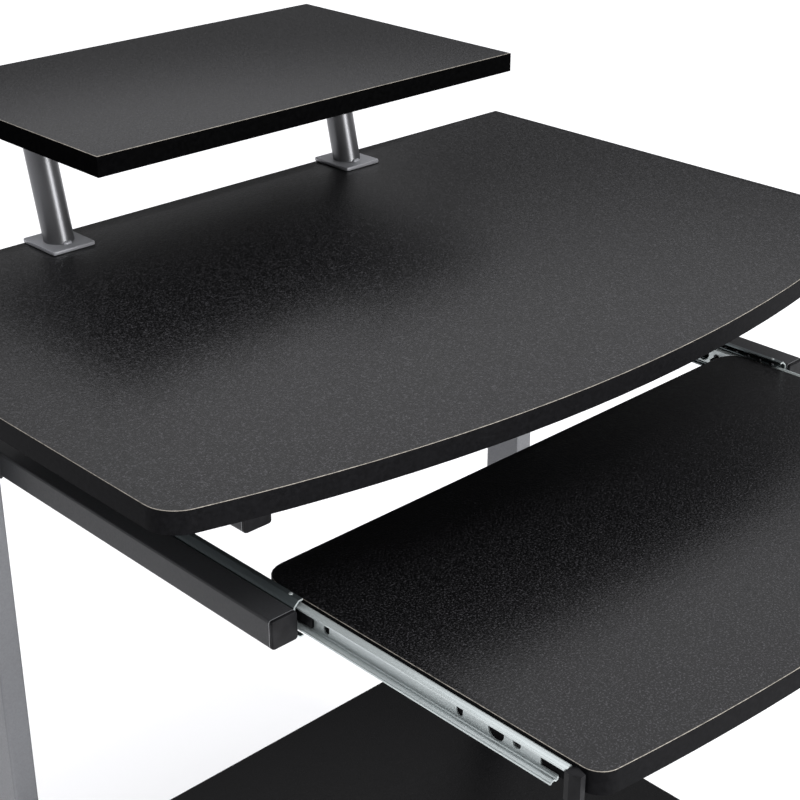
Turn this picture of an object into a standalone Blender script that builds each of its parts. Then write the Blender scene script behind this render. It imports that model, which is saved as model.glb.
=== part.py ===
"""Computer desk with a pull-out keyboard tray, a monitor shelf on two posts and a low equipment shelf.

Metres, +Z up. X runs across the desk, +Y to its back. The floor is Z = 0, and the origin is under the
middle of the whole object, measured with the keyboard tray pulled out to its stop.
"""

import math

import bmesh
import bpy
from mathutils import Matrix, Vector

for old in list(bpy.data.objects):
    bpy.data.objects.remove(old)

# ---------------------------------------------------------------- driving dimensions

FIT = 0.0003                      # gap between two pieces that touch
SIDES = (("left", -1), ("right", 1))

DESK_HEIGHT = 0.740               # floor to the top face of the desktop
DESK_WIDTH = 0.700
DESK_DEPTH = 0.471                # back edge to the foremost point of the bowed front
DESK_BOW_RADIUS = 1.150
DESK_CORNER_RADIUS = 0.024
DESK_THICKNESS = 0.0155

SHELF_WIDTH = 0.400
SHELF_DEPTH = 0.2525
SHELF_THICKNESS = 0.015
SHELF_RISE = 0.1125               # desktop top face to shelf top face
SHELF_OVERHANG = 0.0895           # how far the shelf stands out behind the desktop
SHELF_OFFSET = -0.0088            # the shelf and its posts sit a little left of the middle

POST_DIAMETER = 0.0235
POST_WALL = 0.0015
POST_SPACING = 0.2955
POST_SETBACK = 0.0205             # desktop back edge to the middle of a base plate
POST_LEAN = math.radians(13)      # the posts lean back
PLATE_WIDTH = 0.0375
PLATE_DEPTH = 0.0435
PLATE_THICKNESS = 0.003
PLATE_CORNER_RADIUS = 0.002
POST_BOLT_DIAMETER = 0.006
POST_BOLT_REACH = 0.005           # how far the bolt's end stands above the base plate

SIDE_FRAME_SPACING = 0.5726       # middle of one leg to the middle of the other
LEG_WIDTH = 0.020                 # along X
LEG_DEPTH = 0.040                 # along Y
LEG_SETBACK = 0.0677              # desktop back edge to the leg's rear face
TUBE_WALL = 0.0012
TUBE_CORNER_RADIUS = 0.0018
TOP_TUBE_SIZE = 0.020
TOP_TUBE_REAR = 0.020             # desktop back edge to the tube's rear end
TOP_TUBE_FRONT = 0.4138           # desktop back edge to the tube's front end
TOP_TUBE_INSET = 0.003            # the tube sits this far inboard of the leg's middle
FOOT_HEIGHT = 0.040
FOOT_REAR = 0.010
FOOT_FRONT = 0.460
GLIDE_HEIGHT = 0.008
GLIDE_DIAMETER = 0.019
GLIDE_STEM_DIAMETER = 0.006
GLIDE_STEM_LENGTH = 0.012
GLIDE_EDGE_RADIUS = 0.0016
GLIDE_INSET = 0.035               # end of the foot to the middle of its glide

RAIL_SIZE = 0.020                 # keyboard rails and lower rails are square tube
RAIL_FRONT = 0.4129               # desktop back edge to the keyboard rail's front end
RAIL_DROP = 0.1039                # desktop top face to the rail's top face
CAP_FLANGE = 0.0025               # thickness of an end cap's visible part
CAP_PLUG_DEPTH = 0.010
CAP_CLEARANCE = 0.0002            # between a cap's plug and the inside of its tube
CAP_EDGE_RADIUS = 0.0008

TRAY_DEPTH = 0.2942               # straight back edge to the foremost point of the bow
TRAY_BOW_RADIUS = 1.783
TRAY_CORNER_RADIUS = 0.014
TRAY_BACK_RADIUS = 0.018
TRAY_THICKNESS = 0.0155
TRAY_DROP = 0.1043                # desktop top face to tray top face
TRAY_BEHIND_SLIDE = 0.0414        # inner slide's rear end to the tray's back edge

SLIDE_SETBACK = 0.004             # rail's front end to the outer slide's front end
SLIDE_LENGTH = 0.300
SLIDE_TRAVEL = 0.213
SLIDE_DEPTH = 0.0107              # rail face to tray edge
SLIDE_SHEET = 0.0011
OUTER_HEIGHT = 0.027
OUTER_WEB_HEIGHT = 0.0225         # between the outer slide's web corners
OUTER_DEPTH = 0.0075
OUTER_FLARE = 0.0041              # rail face to where the outer slide's flanges are full height
OUTER_BEND = 0.0015               # slant across the corners of the outer slide's web
BEND_SHIFT = 0.0003               # how much further along each bend lies on the sheet's inner side
INNER_HEIGHT = 0.0156
INNER_DEPTH = 0.0068
INNER_CORNER_RADIUS = 0.0016      # the inner slide's web corners, on the outside
RACE_DIP = 0.0011                 # depth of the groove the balls run in
RACE_WIDTH = 0.0037
RACE_STEPS = 5
BALL_DIAMETER = 0.0047
BALL_CLEARANCE = 0.0002
BALLS_PER_ROW = 7
BALL_PITCH = 0.0115
CAGE_LENGTH = 0.080
CAGE_SHEET = 0.0006
CAGE_GAP = 0.0006                 # outer slide's web to the cage
CAGE_SETBACK = 0.003              # outer slide's front end to the cage's front end, tray out

WINDOW_AT = 0.2135                # inner slide's front end to the middle of each opening in its web
WINDOW_SIZE = (0.010, 0.010)
SCREW_HOLES_AT = (0.0384, 0.2715)
SCREW_HOLE_DIAMETER = 0.006
SLOTS_AT = (0.0817, 0.1941)
SLOT_SIZE = (0.005, 0.0095)
SLOT_CORNER_RADIUS = 0.00245
ACCESS_HOLES_AT = (0.0538, 0.2850)
ACCESS_HOLE_DIAMETER = 0.012
NOTCH_LENGTH = 0.021              # the web is cut away at the front for the bumper
NOTCH_HEIGHT = 0.009
LOWER_CUT = 0.009                 # the lower flange stops this far short of the upper one

BUMPER_SECTIONS = ((0.0, 0.0056), (0.004, 0.0078), (0.0106, 0.0038))   # (in front of the slide, width)
BUMPER_CENTRE = 0.004             # outboard of the inner slide's web
BUMPER_HEIGHT = 0.019
BUMPER_DROP = 0.0017              # tray top face to bumper top face
BUMPER_RAMP = 0.0008              # the top is this much lower where it meets the slide

LOWER_SHELF_TOP = 0.146           # floor to the lower shelf's top face
LOWER_SHELF_DEPTH = 0.350
LOWER_SHELF_OVERHANG = 0.006      # how far it stands out behind the desktop's back edge
LOWER_SHELF_THICKNESS = 0.015
LOWER_RAIL_INSET = 0.010          # shelf edge to the end of the rail under it

STRETCHER_HEIGHT = 0.040
STRETCHER_DEPTH = 0.020
STRETCHER_END_PLATE = 0.003
STRETCHER_BOLT_DIAMETER = 0.006
STRETCHER_BOLT_REACH = 0.005      # how far the bolt's end stands inside the end plate

BOARD_SCREW_DIAMETER = 0.005
BOARD_SCREW_IN_BOARD = 0.010
BOARD_SCREWS_AT = (("rear", 0.040), ("front", 0.360))    # from the desktop's back edge
HEAD_RATIO = 1.9                  # screw head diameter over shank diameter
HEAD_HEIGHT = 0.003
HEAD_CHAMFER = 0.001
HOLE_CLEARANCE = 0.0006           # hole diameter over screw diameter

# ---------------------------------------------------------------- places that follow from them

TRAY_FRONT = RAIL_FRONT - SLIDE_SETBACK + SLIDE_TRAVEL - SLIDE_LENGTH + TRAY_BEHIND_SLIDE + TRAY_DEPTH
BACK_EDGE_Y = (TRAY_FRONT - SHELF_OVERHANG) / 2    # the desktop's back edge

LEG_X = SIDE_FRAME_SPACING / 2
LEG_INNER_X = LEG_X - LEG_WIDTH / 2
RAIL_X = LEG_INNER_X - FIT - RAIL_SIZE / 2
SLIDE_X = RAIL_X - RAIL_SIZE / 2 - FIT             # face of the outer slide that lies on the rail
TRAY_WIDTH = 2 * (SLIDE_X - SLIDE_DEPTH - FIT)
LEG_Y = BACK_EDGE_Y - LEG_SETBACK - LEG_DEPTH / 2
DESK_BOTTOM = DESK_HEIGHT - DESK_THICKNESS
TOP_TUBE_Z = DESK_BOTTOM - FIT - TOP_TUBE_SIZE / 2
LEG_TOP = TOP_TUBE_Z - TOP_TUBE_SIZE / 2 - FIT
FOOT_Z = GLIDE_HEIGHT + FIT + FOOT_HEIGHT / 2
LEG_BOTTOM = FOOT_Z + FOOT_HEIGHT / 2 + FIT
RAIL_Z = DESK_HEIGHT - RAIL_DROP - RAIL_SIZE / 2
SLIDE_FRONT_Y = BACK_EDGE_Y - RAIL_FRONT + SLIDE_SETBACK
TOP_TUBE_X = LEG_X - TOP_TUBE_INSET
TRAY_TOP = DESK_HEIGHT - TRAY_DROP
SHELF_TOP = DESK_HEIGHT + SHELF_RISE
SHELF_BOTTOM = SHELF_TOP - SHELF_THICKNESS
POST_BOTTOM = DESK_HEIGHT + FIT + PLATE_THICKNESS + FIT
POST_TOP = SHELF_BOTTOM - FIT - PLATE_THICKNESS - FIT
LOWER_RAIL_Z = LOWER_SHELF_TOP - LOWER_SHELF_THICKNESS - FIT - RAIL_SIZE / 2
UPPER_STRETCHER_Z = LEG_TOP - FIT - STRETCHER_HEIGHT / 2
LOWER_STRETCHER_Z = LOWER_RAIL_Z - RAIL_SIZE / 2 - FIT - STRETCHER_HEIGHT / 2
BALL_Z = INNER_HEIGHT / 2 - RACE_DIP + BALL_CLEARANCE + BALL_DIAMETER / 2
RACE_DEPTH = SLIDE_DEPTH - INNER_DEPTH / 2 - SLIDE_SHEET / 2    # rail face to the middle of the race

# ---------------------------------------------------------------- materials

FINISHES = {
    "black_laminate": ((0.030, 0.030, 0.032), 0.55, 0.0),
    "grey_steel": ((0.235, 0.240, 0.255), 0.45, 0.6),
    "dark_steel": ((0.060, 0.060, 0.064), 0.45, 0.5),
    "silver_steel": ((0.420, 0.425, 0.440), 0.30, 0.9),
    "zinc_steel": ((0.330, 0.360, 0.370), 0.30, 0.9),
    "black_plastic": ((0.018, 0.018, 0.019), 0.50, 0.0),
    "bright_steel": ((0.500, 0.500, 0.510), 0.30, 1.0),
}


def finish(name):
    """The material of this name, made on first use."""
    material = bpy.data.materials.get(name)
    if material is None:
        colour, roughness, metallic = FINISHES[name]
        material = bpy.data.materials.new(name)
        material.use_nodes = True
        shader = material.node_tree.nodes["Principled BSDF"]
        shader.inputs["Base Color"].default_value = (*colour, 1.0)
        shader.inputs["Roughness"].default_value = roughness
        shader.inputs["Metallic"].default_value = metallic
    return material


# ---------------------------------------------------------------- modelling helpers


def add(name, shape, material, place=(0, 0, 0), parent=None):
    """Turns a bmesh into a named object of one finish."""
    bmesh.ops.recalc_face_normals(shape, faces=shape.faces)
    mesh = bpy.data.meshes.new(name)
    shape.to_mesh(mesh)
    shape.free()
    mesh.shade_smooth()
    mesh.set_sharp_from_angle(angle=math.radians(35))
    mesh.materials.append(finish(material))
    piece = bpy.data.objects.new(name, mesh)
    bpy.context.scene.collection.objects.link(piece)
    piece.location = place
    piece.parent = parent
    return piece


def extrude(shape, faces, vector):
    """Extrudes faces by a vector and leaves the first ones in place."""
    grown = bmesh.ops.extrude_face_region(shape, geom=faces)["geom"]
    verts = [part for part in grown if isinstance(part, bmesh.types.BMVert)]
    bmesh.ops.translate(shape, verts=verts, vec=vector)


def pull(shape, faces, vector):
    """Pulls faces of a closed shape out by a vector."""
    extrude(shape, faces, vector)
    bmesh.ops.delete(shape, geom=faces, context="FACES_ONLY")


def extruded(outline, depth):
    """A closed outline in XY pulled up along Z, centred on Z = 0."""
    shape = bmesh.new()
    corners = [shape.verts.new((x, y, -depth / 2)) for x, y in outline]
    extrude(shape, [shape.faces.new(corners)], (0, 0, depth))
    return shape


def box(size):
    shape = bmesh.new()
    bmesh.ops.create_cube(shape, size=1.0, matrix=Matrix.Diagonal((*size, 1.0)))
    return shape


def runs_along(edge, axis):
    run = edge.verts[1].co - edge.verts[0].co
    return abs(run[axis]) > 0.999 * run.length


def round_long_edges(shape, axis, radius, segments=2):
    """Rounds the four edges that run along this axis."""
    edges = [edge for edge in shape.edges if runs_along(edge, axis)]
    bmesh.ops.bevel(shape, geom=edges, offset=radius, offset_type="OFFSET", segments=segments,
                    profile=0.5, affect="EDGES", clamp_overlap=True)


def end_faces(shape, axis):
    return [face for face in shape.faces if abs(face.normal[axis]) > 0.999]


def hollow_tube(size, axis):
    """A rectangular tube, open at both ends of the axis it runs along."""
    shape = box(size)
    round_long_edges(shape, axis, TUBE_CORNER_RADIUS)
    ends = end_faces(shape, axis)
    bmesh.ops.inset_individual(shape, faces=ends, thickness=TUBE_WALL, use_even_offset=True)
    bores = [edge for face in ends for edge in face.edges]
    bmesh.ops.delete(shape, geom=ends, context="FACES_ONLY")
    bmesh.ops.bridge_loops(shape, edges=bores)
    return shape


def cylinder(diameter, length, segments=20):
    shape = bmesh.new()
    bmesh.ops.create_cone(shape, cap_ends=True, segments=segments, radius1=diameter / 2,
                          radius2=diameter / 2, depth=length)
    return shape


def pointing(shape, direction):
    """Turns a shape made along +Z to point in this direction."""
    turn = Vector((0, 0, 1)).rotation_difference(Vector(direction)).to_matrix()
    bmesh.ops.rotate(shape, verts=shape.verts, matrix=turn)
    return shape


def combine(piece, shape, place, operation):
    """Cuts a shape from a piece, or joins it on. The place is in the piece's own space."""
    bmesh.ops.translate(shape, verts=shape.verts, vec=place)
    name = f"{piece.name}_tool_{len(piece.modifiers)}"
    tool = add(name, shape, "black_plastic", parent=piece)
    tool.hide_render = True
    tool.display_type = "WIRE"
    modifier = piece.modifiers.new(name, "BOOLEAN")
    modifier.operation = operation
    modifier.solver = "EXACT"
    modifier.object = tool


def drill(piece, place, diameter, length, direction):
    """A clearance hole for a screw, centred on a place in the world. The piece has no parent."""
    hole = pointing(cylinder(diameter + HOLE_CLEARANCE, length, 12), direction)
    combine(piece, hole, Vector(place) - piece.location, "DIFFERENCE")


def screw(name, place, direction, diameter, shank):
    """A pan-head screw. Its head's flat side is on the place, and its shank points in the direction."""
    head = diameter * HEAD_RATIO
    shape = cylinder(head, HEAD_HEIGHT, 12)
    bmesh.ops.translate(shape, verts=shape.verts, vec=(0, 0, -HEAD_HEIGHT / 2))
    rim = [edge for edge in shape.edges if all(vert.co.z < -HEAD_HEIGHT / 2 for vert in edge.verts)]
    bmesh.ops.bevel(shape, geom=rim, offset=HEAD_CHAMFER, segments=1, affect="EDGES", profile=0.5)
    seat = [face for face in shape.faces if face.normal.z > 0.999]
    bmesh.ops.inset_individual(shape, faces=seat, thickness=(head - diameter) / 2)
    pull(shape, seat, (0, 0, shank))
    return add(name, pointing(shape, direction), "bright_steel", place)


# ---------------------------------------------------------------- outlines

CORNER_STEPS = 10
BOW_STEPS = 24
BACK_STEPS = 6


def arc(centre, radius, start, end, steps):
    """Points along an arc, both ends included."""
    turns = [start + (end - start) * step / steps for step in range(steps + 1)]
    return [(centre[0] + radius * math.cos(turn), centre[1] + radius * math.sin(turn)) for turn in turns]


def bowed_board(width, depth, bow_radius, front_radius, back_radius=0.0):
    """A board seen from above: bowed front at -Y, straight back at Y = 0, round front corners.

    Each front corner's circle touches both the side edge and the inside of the bow.
    """
    bow_y = bow_radius - depth
    corner_x = width / 2 - front_radius
    corner_y = bow_y - math.sqrt((bow_radius - front_radius) ** 2 - corner_x ** 2)
    tangent = math.atan2(corner_y - bow_y, corner_x)
    corner = arc((corner_x, corner_y), front_radius, tangent, 0.0, CORNER_STEPS)
    bow = arc((0.0, bow_y), bow_radius, -math.pi - tangent, tangent, BOW_STEPS)
    back = [(width / 2, 0.0)]
    if back_radius:
        back = arc((width / 2 - back_radius, -back_radius), back_radius, 0.0, math.pi / 2, BACK_STEPS)
    right = corner + back
    left = [(-x, y) for x, y in reversed(right)]
    return left + bow[1:-1] + right


# ---------------------------------------------------------------- boards


def behind(setback):
    """World Y of a place this far in front of the desktop's back edge."""
    return BACK_EDGE_Y - setback


def make_boards():
    outline = bowed_board(DESK_WIDTH, DESK_DEPTH, DESK_BOW_RADIUS, DESK_CORNER_RADIUS)
    desktop = add("desktop", extruded(outline, DESK_THICKNESS), "black_laminate",
                  (0, BACK_EDGE_Y, DESK_HEIGHT - DESK_THICKNESS / 2))
    add("monitor_shelf", box((SHELF_WIDTH, SHELF_DEPTH, SHELF_THICKNESS)), "black_laminate",
        (SHELF_OFFSET, behind(SHELF_DEPTH / 2 - SHELF_OVERHANG), SHELF_TOP - SHELF_THICKNESS / 2))
    lower_y = behind(LOWER_SHELF_DEPTH / 2 - LOWER_SHELF_OVERHANG)
    add("lower_shelf", box((2 * (LEG_INNER_X - FIT), LOWER_SHELF_DEPTH, LOWER_SHELF_THICKNESS)),
        "black_laminate", (0, lower_y, LOWER_SHELF_TOP - LOWER_SHELF_THICKNESS / 2))
    return desktop


# ---------------------------------------------------------------- side frames


def end_cap(name, place, width, height, direction):
    """A plug for a tube end that faces front (-1) or rear (+1), with its flange outside the tube."""
    shape = box((width, CAP_FLANGE, height))
    round_long_edges(shape, 1, TUBE_CORNER_RADIUS)
    inner = [face for face in shape.faces if face.normal.y * direction < -0.999]
    outer = [edge for face in shape.faces if face.normal.y * direction > 0.999 for edge in face.edges]
    bmesh.ops.inset_individual(shape, faces=inner, thickness=TUBE_WALL + CAP_CLEARANCE, use_even_offset=True)
    pull(shape, inner, (0, -direction * (CAP_PLUG_DEPTH + FIT), 0))
    bmesh.ops.bevel(shape, geom=outer, offset=CAP_EDGE_RADIUS, segments=2, affect="EDGES", profile=0.5)
    x, y, z = place
    add(name, shape, "black_plastic", (x, y + direction * (FIT + CAP_FLANGE / 2), z))


def capped_tube(name, side, material, x, z, width, height, rear, front):
    """A tube along Y between two setbacks, which its capped ends' flanges reach."""
    flange = CAP_FLANGE + FIT
    tube_rear = behind(rear) - flange
    tube_front = behind(front) + flange
    tube = add(f"{name}_{side}", hollow_tube((width, tube_rear - tube_front, height), 1), material,
               (x, (tube_rear + tube_front) / 2, z))
    end_cap(f"{name}_cap_{side}_rear", (x, tube_rear, z), width, height, 1)
    end_cap(f"{name}_cap_{side}_front", (x, tube_front, z), width, height, -1)
    return tube


def glide(name, x, y):
    """A foot pad with a stem that goes up into the foot tube."""
    shape = cylinder(GLIDE_DIAMETER, GLIDE_HEIGHT, 16)
    rims = [edge for edge in shape.edges if abs(edge.verts[0].co.z - edge.verts[1].co.z) < FIT]
    bmesh.ops.bevel(shape, geom=rims, offset=GLIDE_EDGE_RADIUS, segments=2, affect="EDGES", profile=0.5)
    top = [face for face in shape.faces if face.normal.z > 0.999]
    flat = GLIDE_DIAMETER / 2 - GLIDE_EDGE_RADIUS
    bmesh.ops.inset_individual(shape, faces=top, thickness=flat - GLIDE_STEM_DIAMETER / 2)
    pull(shape, top, (0, 0, GLIDE_STEM_LENGTH))
    add(name, shape, "black_plastic", (x, y, GLIDE_HEIGHT / 2))


def make_side_frame(side, sign):
    x = sign * LEG_X
    leg = add(f"leg_{side}", hollow_tube((LEG_WIDTH, LEG_DEPTH, LEG_TOP - LEG_BOTTOM), 2), "grey_steel",
              (x, LEG_Y, (LEG_TOP + LEG_BOTTOM) / 2))
    top_tube = capped_tube("top_tube", side, "dark_steel", sign * TOP_TUBE_X, TOP_TUBE_Z, TOP_TUBE_SIZE,
                           TOP_TUBE_SIZE, TOP_TUBE_REAR, TOP_TUBE_FRONT)
    foot = capped_tube("foot_tube", side, "grey_steel", x, FOOT_Z, LEG_WIDTH, FOOT_HEIGHT,
                       FOOT_REAR, FOOT_FRONT)
    rail_x = sign * RAIL_X
    capped_tube("keyboard_rail", side, "dark_steel", rail_x, RAIL_Z, RAIL_SIZE, RAIL_SIZE,
                LEG_SETBACK, RAIL_FRONT)
    rear = LOWER_RAIL_INSET - LOWER_SHELF_OVERHANG
    capped_tube("lower_rail", side, "dark_steel", rail_x, LOWER_RAIL_Z, RAIL_SIZE, RAIL_SIZE,
                rear, rear + LOWER_SHELF_DEPTH - 2 * LOWER_RAIL_INSET)
    for end, setback in (("rear", FOOT_REAR + GLIDE_INSET), ("front", FOOT_FRONT - GLIDE_INSET)):
        y = behind(setback)
        glide(f"glide_{side}_{end}", x, y)
        drill(foot, (x, y, FOOT_Z - FOOT_HEIGHT / 2), GLIDE_STEM_DIAMETER, 4 * TUBE_WALL, (0, 0, 1))
    return leg, top_tube


def make_stretcher(name, z):
    """A tube across the desk with an end plate welded into each end, open only at the bolt holes."""
    length = 2 * (LEG_INNER_X - FIT)
    shape = box((length, STRETCHER_DEPTH, STRETCHER_HEIGHT))
    round_long_edges(shape, 0, TUBE_CORNER_RADIUS)
    stretcher = add(name, shape, "dark_steel", (0, LEG_Y, z))
    bore = box((length - 2 * STRETCHER_END_PLATE, STRETCHER_DEPTH - 2 * TUBE_WALL,
                STRETCHER_HEIGHT - 2 * TUBE_WALL))
    combine(stretcher, bore, (0, 0, 0), "DIFFERENCE")
    return stretcher


def bolt_stretcher(stretcher, level, z, legs):
    """One bolt through each leg into the stretcher's end plate."""
    shank = LEG_WIDTH + 2 * FIT + STRETCHER_END_PLATE + STRETCHER_BOLT_REACH
    for side, sign in SIDES:
        head = (sign * (LEG_X + LEG_WIDTH / 2 + FIT), LEG_Y, z)
        inward = (-sign, 0, 0)
        screw(f"{level}_stretcher_bolt_{side}", head, inward, STRETCHER_BOLT_DIAMETER, shank)
        drill(legs[side], (sign * LEG_X, LEG_Y, z), STRETCHER_BOLT_DIAMETER, 2 * LEG_WIDTH, inward)
        end = (sign * (LEG_INNER_X - FIT), LEG_Y, z)
        drill(stretcher, end, STRETCHER_BOLT_DIAMETER, 4 * STRETCHER_END_PLATE, inward)


def screw_down_desktop(desktop, top_tube, side, sign):
    """Screws up through the top tube into the desktop's underside."""
    bottom = TOP_TUBE_Z - TOP_TUBE_SIZE / 2
    shank = TOP_TUBE_SIZE + 2 * FIT + BOARD_SCREW_IN_BOARD
    for end, setback in BOARD_SCREWS_AT:
        x, y = sign * TOP_TUBE_X, behind(setback)
        screw(f"desktop_screw_{side}_{end}", (x, y, bottom - FIT), (0, 0, 1), BOARD_SCREW_DIAMETER, shank)
        drill(top_tube, (x, y, TOP_TUBE_Z), BOARD_SCREW_DIAMETER, 2 * TOP_TUBE_SIZE, (0, 0, 1))
        depth = 2 * (BOARD_SCREW_IN_BOARD + 2 * FIT)
        drill(desktop, (x, y, DESK_BOTTOM), BOARD_SCREW_DIAMETER, depth, (0, 0, 1))


# ---------------------------------------------------------------- monitor posts


def leaning_tube(height):
    """A round tube with level ends that leans back. Its middle is at the origin."""
    shape = cylinder(POST_DIAMETER, height, 32)
    ends = end_faces(shape, 2)
    bmesh.ops.inset_individual(shape, faces=ends, thickness=POST_WALL, use_even_offset=True)
    bores = [edge for face in ends for edge in face.edges]
    bmesh.ops.delete(shape, geom=ends, context="FACES_ONLY")
    bmesh.ops.bridge_loops(shape, edges=bores)
    for vert in shape.verts:
        vert.co.y = vert.co.y / math.cos(POST_LEAN) + vert.co.z * math.tan(POST_LEAN)
    return shape


def post_plate():
    shape = box((PLATE_WIDTH, PLATE_DEPTH, PLATE_THICKNESS))
    round_long_edges(shape, 2, PLATE_CORNER_RADIUS)
    return shape


def make_monitor_post(side, sign, desktop):
    x, y = SHELF_OFFSET + sign * POST_SPACING / 2, behind(POST_SETBACK)
    height = POST_TOP - POST_BOTTOM
    shift = height / 2 * math.tan(POST_LEAN)
    add(f"monitor_post_{side}", leaning_tube(height), "silver_steel",
        (x, y + shift, (POST_TOP + POST_BOTTOM) / 2))
    base = add(f"post_base_plate_{side}", post_plate(), "silver_steel",
               (x, y, DESK_HEIGHT + FIT + PLATE_THICKNESS / 2))
    add(f"post_top_plate_{side}", post_plate(), "silver_steel",
        (x, y + 2 * shift, SHELF_BOTTOM - FIT - PLATE_THICKNESS / 2))
    shank = FIT + DESK_THICKNESS + FIT + PLATE_THICKNESS + POST_BOLT_REACH
    screw(f"post_bolt_{side}", (x, y, DESK_BOTTOM - FIT), (0, 0, 1), POST_BOLT_DIAMETER, shank)
    for piece in (desktop, base):
        drill(piece, (x, y, DESK_HEIGHT), POST_BOLT_DIAMETER, 4 * DESK_THICKNESS, (0, 0, 1))


# ---------------------------------------------------------------- slides and keyboard tray


def outer_profile():
    """The rail-side slide member: a channel open to the tray, whose flanges flare to the ball races."""
    low, high = OUTER_WEB_HEIGHT / 2, OUTER_HEIGHT / 2
    outside = [(0.0, low - OUTER_BEND), (OUTER_BEND, low), (OUTER_FLARE, high), (OUTER_DEPTH, high)]
    inside = [(OUTER_DEPTH, high - SLIDE_SHEET), (OUTER_FLARE + BEND_SHIFT, high - SLIDE_SHEET),
              (OUTER_BEND + BEND_SHIFT, low - SLIDE_SHEET), (SLIDE_SHEET, low - OUTER_BEND - BEND_SHIFT)]
    half = outside + inside
    return half + [(u, -v) for u, v in reversed(half)]


def inner_profile():
    """The tray-side member: a channel open to the rail, with a groove along the top of each flange."""
    high = INNER_HEIGHT / 2
    tip = SLIDE_DEPTH - INNER_DEPTH
    centre = (SLIDE_DEPTH - INNER_CORNER_RADIUS, high - INNER_CORNER_RADIUS)
    groove = []
    for step in range(RACE_STEPS + 1):
        across = 1 - 2 * step / RACE_STEPS
        groove.append((RACE_DEPTH + across * RACE_WIDTH / 2, high - RACE_DIP * (1 - across ** 2)))
    crest = arc(centre, INNER_CORNER_RADIUS, 0.0, math.pi / 2, 2) + groove + [(tip, high)]
    under = [(tip, high - SLIDE_SHEET)]
    under += [(u, v - SLIDE_SHEET) for u, v in reversed(groove)]
    under += arc(centre, INNER_CORNER_RADIUS - SLIDE_SHEET, math.pi / 2, 0.0, 1)
    half = crest + under
    return half + [(u, -v) for u, v in reversed(half)]


def cage_profile():
    """The ball cage: a thin channel around the inner member, between its lips and the outer web."""
    near = SLIDE_SHEET + CAGE_GAP
    far = RACE_DEPTH + BALL_DIAMETER / 2
    high = BALL_Z + CAGE_SHEET / 2
    half = [(near, high), (far, high), (far, high - CAGE_SHEET), (near + CAGE_SHEET, high - CAGE_SHEET)]
    return half + [(u, -v) for u, v in reversed(half)]


def slide_member(name, profile, length, front_y, sign, material, parent=None):
    """A profile of (distance from the rail, height) pulled along Y. Its origin is at its front end."""
    flat = extruded([(-sign * (u - SLIDE_X), v) for u, v in profile], length)
    for vert in flat.verts:
        x, v, run = vert.co
        vert.co = (x, run + length / 2, v)
    return add(name, flat, material, (0, front_y, 0 if parent else RAIL_Z), parent)


def web_hole(member, sign, y, shape):
    """Cuts a shape, made along X, through a slide member's web."""
    combine(member, shape, (sign * (SLIDE_X - SLIDE_DEPTH), y, 0), "DIFFERENCE")


def carriage_empty(name, front_y):
    """A moving group's own empty, on the line its slide joint runs along."""
    empty = bpy.data.objects.new(name, None)
    bpy.context.scene.collection.objects.link(empty)
    empty.location = (0, front_y, RAIL_Z)
    return empty


def make_inner_slide(side, sign, carriage):
    inner = slide_member(f"inner_slide_{side}", inner_profile(), SLIDE_LENGTH, 0, sign, "zinc_steel",
                         carriage)
    through = 4 * SLIDE_SHEET
    web_hole(inner, sign, WINDOW_AT, box((through, *WINDOW_SIZE)))
    for y in SLOTS_AT:
        slot = box((through, *SLOT_SIZE))
        round_long_edges(slot, 0, SLOT_CORNER_RADIUS)
        web_hole(inner, sign, y, slot)
    for y in SCREW_HOLES_AT:
        web_hole(inner, sign, y, pointing(cylinder(SCREW_HOLE_DIAMETER, through, 16), (1, 0, 0)))
    for y in ACCESS_HOLES_AT:
        web_hole(inner, sign, y, pointing(cylinder(ACCESS_HOLE_DIAMETER, through, 24), (1, 0, 0)))
    web_hole(inner, sign, 0, box((through, 2 * NOTCH_LENGTH, NOTCH_HEIGHT)))
    below = box((4 * INNER_DEPTH, 2 * LOWER_CUT, INNER_HEIGHT))
    drop = (INNER_HEIGHT + NOTCH_HEIGHT) / 2 - SLIDE_SHEET
    bmesh.ops.translate(below, verts=below.verts, vec=(0, 0, -drop))
    web_hole(inner, sign, 0, below)


def make_bumper(side, sign, carriage):
    """A plastic stop on the inner slide's front end: a nose that is widest at its shoulder."""
    outline = [(width / 2, -FIT - run) for run, width in BUMPER_SECTIONS]
    outline += [(-width / 2, -FIT - run) for run, width in reversed(BUMPER_SECTIONS)]
    shape = extruded(outline, BUMPER_HEIGHT)
    for vert in shape.verts:
        if vert.co.z > 0 and vert.co.y > -2 * FIT:
            vert.co.z -= BUMPER_RAMP
    x = sign * (SLIDE_X - SLIDE_DEPTH + BUMPER_CENTRE)
    z = TRAY_TOP - BUMPER_DROP - BUMPER_HEIGHT / 2 - RAIL_Z
    add(f"slide_bumper_{side}", shape, "black_plastic", (x, 0, z), carriage)


def make_ball_cage(side, sign):
    front_y = SLIDE_FRONT_Y + CAGE_SETBACK
    cage = slide_member(f"ball_cage_{side}", cage_profile(), CAGE_LENGTH, front_y, sign, "zinc_steel")
    first = (CAGE_LENGTH - (BALLS_PER_ROW - 1) * BALL_PITCH) / 2
    balls = bmesh.new()
    for row in (-1, 1):
        for number in range(BALLS_PER_ROW):
            place = (sign * (SLIDE_X - RACE_DEPTH), first + number * BALL_PITCH, row * BALL_Z)
            bmesh.ops.create_uvsphere(balls, u_segments=8, v_segments=6, radius=BALL_DIAMETER / 2,
                                      matrix=Matrix.Translation(place))
    combine(cage, balls, (0, 0, 0), "UNION")


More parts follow.
